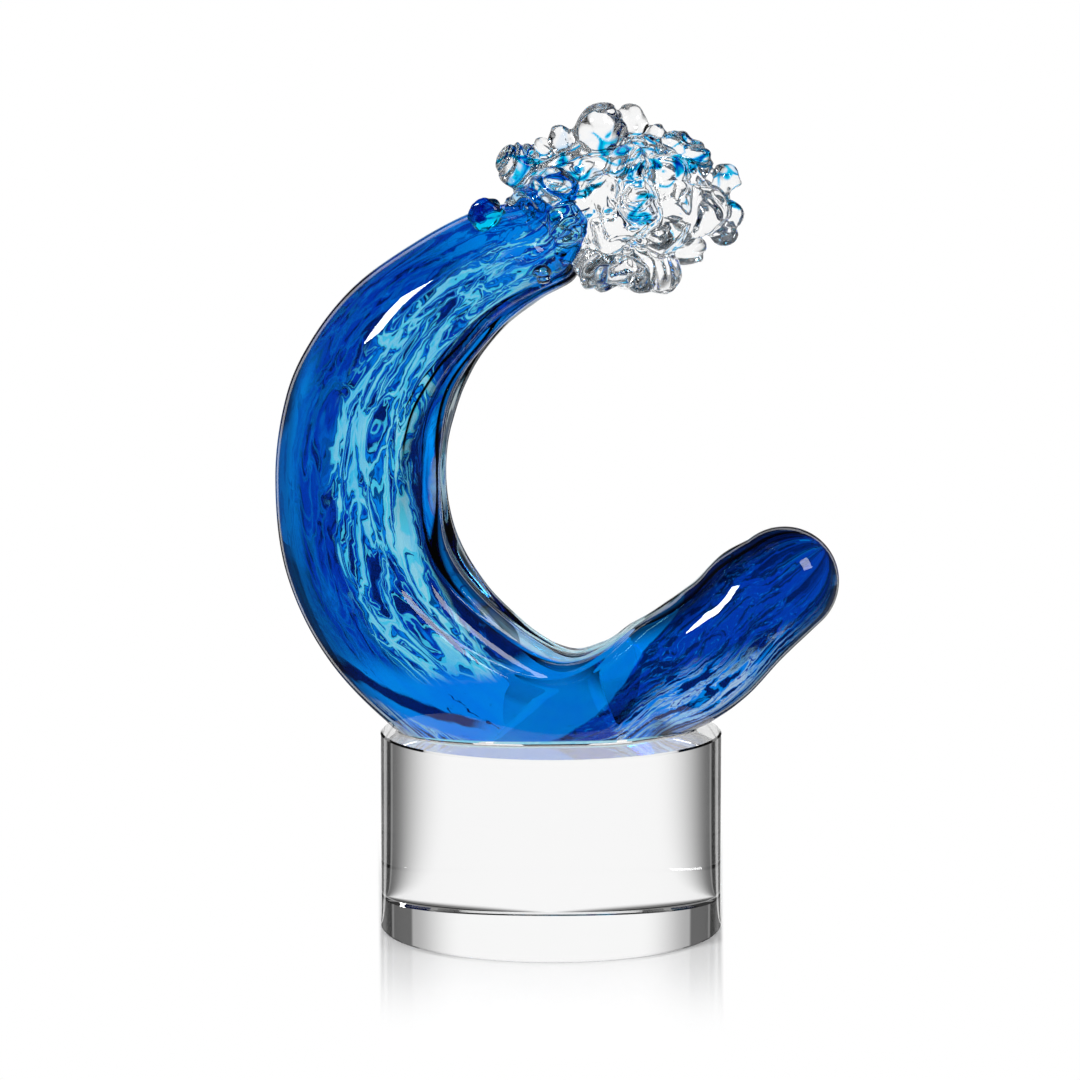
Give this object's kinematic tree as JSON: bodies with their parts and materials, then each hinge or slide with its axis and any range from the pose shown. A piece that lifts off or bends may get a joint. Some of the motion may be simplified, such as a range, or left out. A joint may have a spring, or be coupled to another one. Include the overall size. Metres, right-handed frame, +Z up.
{
  "type": "glass wave award",
  "caption": "Curling blue glass wave with a clear foam crest, bonded by its ground foot to a round clear crystal base.",
  "frame": {"origin": "centre of the crystal base's flat underside", "axes": "+Z up; +Y away from the viewer who faces the engraving side; +X towards the wave's rising toe"},
  "size_m": [0.1468, 0.089, 0.2156],
  "materials": {
    "optical_crystal": "polished clear optical crystal",
    "bond": "clear cured adhesive",
    "clear_glass": "fire polished clear glass",
    "aqua_glass": "transparent aqua glass",
    "cobalt_glass": "transparent cobalt glass"
  },
  "bodies": {
    "root": {"crystal_base": "optical_crystal", "bond_film": "bond", "wave_casing": "clear_glass", "aqua_sleeve": "aqua_glass", "cobalt_core": "cobalt_glass", "crest_gather": "clear_glass", "coiled_bead": "aqua_glass", "small_drop": "clear_glass", "foam_bead_01": "clear_glass", "foam_bead_02": "clear_glass", "foam_bead_03": "clear_glass", "foam_bead_04": "clear_glass", "foam_bead_05": "clear_glass", "foam_bead_06": "clear_glass", "foam_bead_07": "clear_glass", "foam_bead_08": "clear_glass", "foam_bead_09": "clear_glass", "foam_bead_10": "clear_glass", "foam_bead_11": "clear_glass", "foam_bead_12": "clear_glass", "foam_bead_13": "clear_glass", "foam_bead_14": "clear_glass", "foam_bead_15": "clear_glass", "foam_bead_16": "clear_glass", "foam_bead_17": "clear_glass", "foam_bead_18": "clear_glass", "foam_bead_19": "clear_glass", "foam_bead_20": "clear_glass", "foam_bead_21": "clear_glass", "foam_bead_22": "clear_glass", "foam_bead_23": "clear_glass", "foam_bead_24": "clear_glass", "foam_bead_25": "clear_glass", "foam_bead_26": "clear_glass", "foam_bead_27": "clear_glass", "foam_bead_28": "clear_glass", "foam_bead_29": "clear_glass", "foam_bead_30": "clear_glass", "foam_bead_31": "clear_glass", "foam_bead_32": "clear_glass", "foam_bead_33": "clear_glass", "foam_bead_34": "clear_glass", "foam_bead_35": "clear_glass", "foam_bead_36": "clear_glass", "foam_bead_37": "clear_glass", "foam_bead_38": "clear_glass"}
  },
  "joints": []
}
